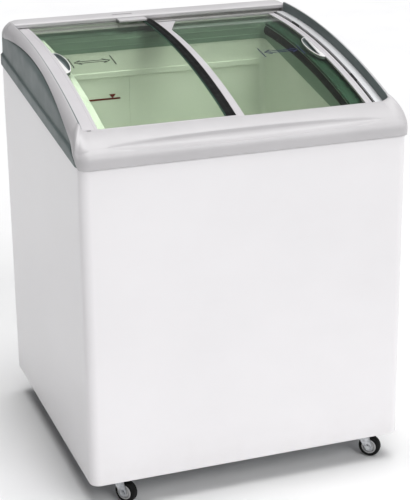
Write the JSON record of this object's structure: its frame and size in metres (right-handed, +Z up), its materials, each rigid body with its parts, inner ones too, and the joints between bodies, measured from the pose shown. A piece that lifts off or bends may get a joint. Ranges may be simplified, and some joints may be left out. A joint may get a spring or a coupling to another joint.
{
  "type": "chest freezer",
  "caption": "Ice-cream display chest freezer: white steel cabinet on castors, sloping top frame and two curved glass lids that slide past each other.",
  "frame": {"origin": "on the floor, under the middle of the whole box round the freezer", "axes": "+X to the right seen from the front, front face towards -Y, +Z up"},
  "size_m": [0.731, 0.682, 0.942],
  "materials": {
    "shell_white": "gloss",
    "galvanised": "satin",
    "foam": "matte",
    "liner_metal": "satin",
    "copper": "satin",
    "compressor_black": "gloss",
    "rubber_black": "matte",
    "black_plastic": "matte",
    "light_grey_plastic": "satin",
    "grey_green_plastic": "satin",
    "throat_plastic": "satin",
    "white_plastic": "gloss",
    "lid_frame_plastic": "satin",
    "tinted_glass": "polished",
    "ledge_aluminium": "satin",
    "zinc_steel": "satin",
    "wheel_grey": "satin",
    "tyre_black": "matte"
  },
  "bodies": {
    "cabinet": {"outer_shell": "shell_white", "rear_panel": "shell_white", "rear_grille": "shell_white", "grille_screws": "zinc_steel", "base_tray": "galvanised", "castor_plates": "zinc_steel", "castor_bolts": "zinc_steel", "foam_insulation": "foam", "inner_liner": "liner_metal", "seam_strip": "liner_metal", "evaporator_coil": "copper", "condenser_coil": "copper", "compressor": "compressor_black", "compressor_feet": "rubber_black", "start_relay_box": "black_plastic", "filter_dryer": "copper", "thermostat": "white_plastic", "power_inlet": "black_plastic", "drain_tube": "white_plastic", "liner_throat": "throat_plastic", "front_beam": "light_grey_plastic", "rear_rail": "light_grey_plastic", "lid_stop": "light_grey_plastic", "side_cover_left": "grey_green_plastic", "side_cover_right": "grey_green_plastic", "side_rim_left": "light_grey_plastic", "side_rim_right": "light_grey_plastic", "side_ledge_left": "ledge_aluminium", "side_ledge_right": "ledge_aluminium", "side_seals": "rubber_black", "front_track": "lid_frame_plastic", "rear_track": "lid_frame_plastic"},
    "left_lid": {"left_lid_glass": "tinted_glass", "left_lid_frame": "lid_frame_plastic", "left_lid_seal": "rubber_black", "left_lid_glides": "lid_frame_plastic", "left_lid_handle": "grey_green_plastic"},
    "right_lid": {"right_lid_glass": "tinted_glass", "right_lid_frame": "lid_frame_plastic", "right_lid_centre_frame": "lid_frame_plastic", "right_lid_glides": "lid_frame_plastic", "right_lid_handle": "grey_green_plastic"},
    "thermostat_knob": {"thermostat_knob": "black_plastic"},
    "drain_plug": {"drain_plug": "rubber_black"},
    "castor_swivel_front_left": {"castor_fork_front_left": "zinc_steel", "castor_axle_front_left": "zinc_steel"},
    "castor_wheel_front_left": {"castor_hub_front_left": "wheel_grey", "castor_tyre_front_left": "tyre_black"},
    "castor_swivel_front_right": {"castor_fork_front_right": "zinc_steel", "castor_axle_front_right": "zinc_steel"},
    "castor_wheel_front_right": {"castor_hub_front_right": "wheel_grey", "castor_tyre_front_right": "tyre_black"},
    "castor_swivel_rear_left": {"castor_fork_rear_left": "zinc_steel", "castor_axle_rear_left": "zinc_steel"},
    "castor_wheel_rear_left": {"castor_hub_rear_left": "wheel_grey", "castor_tyre_rear_left": "tyre_black"},
    "castor_swivel_rear_right": {"castor_fork_rear_right": "zinc_steel", "castor_axle_rear_right": "zinc_steel"},
    "castor_wheel_rear_right": {"castor_hub_rear_right": "wheel_grey", "castor_tyre_rear_right": "tyre_black"}
  },
  "joints": [
    {"name": "left_lid_slide", "type": "slide", "parent": "cabinet", "child": "left_lid", "axis": [1, 0, 0], "range_m": [0, 0.262]},
    {"name": "right_lid_slide", "type": "slide", "parent": "cabinet", "child": "right_lid", "axis": [1, 0, 0], "range_m": [-0.262, 0]},
    {"name": "thermostat_turn", "type": "hinge", "parent": "cabinet", "child": "thermostat_knob", "pos_m": [0.23, 0.333, 0.205], "axis": [0, 1, 0], "range_deg": [0, 270]},
    {"name": "drain_plug_pull", "type": "slide", "parent": "cabinet", "child": "drain_plug", "axis": [0, 0, 1], "range_m": [0, 0.03]},
    {"name": "castor_swivel_front_left", "type": "hinge", "parent": "cabinet", "child": "castor_swivel_front_left", "pos_m": [-0.291, -0.287, 0.057], "axis": [0, 0, 1], "continuous": true},
    {"name": "castor_roll_front_left", "type": "hinge", "parent": "castor_swivel_front_left", "child": "castor_wheel_front_left", "pos_m": [-0.27715, -0.3041, 0.025], "axis": [0.7771, 0.6293, 0], "continuous": true},
    {"name": "castor_swivel_front_right", "type": "hinge", "parent": "cabinet", "child": "castor_swivel_front_right", "pos_m": [0.291, -0.287, 0.057], "axis": [0, 0, 1], "continuous": true},
    {"name": "castor_roll_front_right", "type": "hinge", "parent": "castor_swivel_front_right", "child": "castor_wheel_front_right", "pos_m": [0.3076, -0.30143, 0.025], "axis": [0.6561, 0.7547, 0], "continuous": true},
    {"name": "castor_swivel_rear_left", "type": "hinge", "parent": "cabinet", "child": "castor_swivel_rear_left", "pos_m": [-0.291, 0.287, 0.057], "axis": [0, 0, 1], "continuous": true},
    {"name": "castor_roll_rear_left", "type": "hinge", "parent": "castor_swivel_rear_left", "child": "castor_wheel_rear_left", "pos_m": [-0.27106, 0.2963, 0.025], "axis": [-0.4226, 0.9063, 0], "continuous": true},
    {"name": "castor_swivel_rear_right", "type": "hinge", "parent": "cabinet", "child": "castor_swivel_rear_right", "pos_m": [0.291, 0.287, 0.057], "axis": [0, 0, 1], "continuous": true},
    {"name": "castor_roll_rear_right", "type": "hinge", "parent": "castor_swivel_rear_right", "child": "castor_wheel_rear_right", "pos_m": [0.30902, 0.27438, 0.025], "axis": [0.5736, 0.8192, 0], "continuous": true}
  ]
}
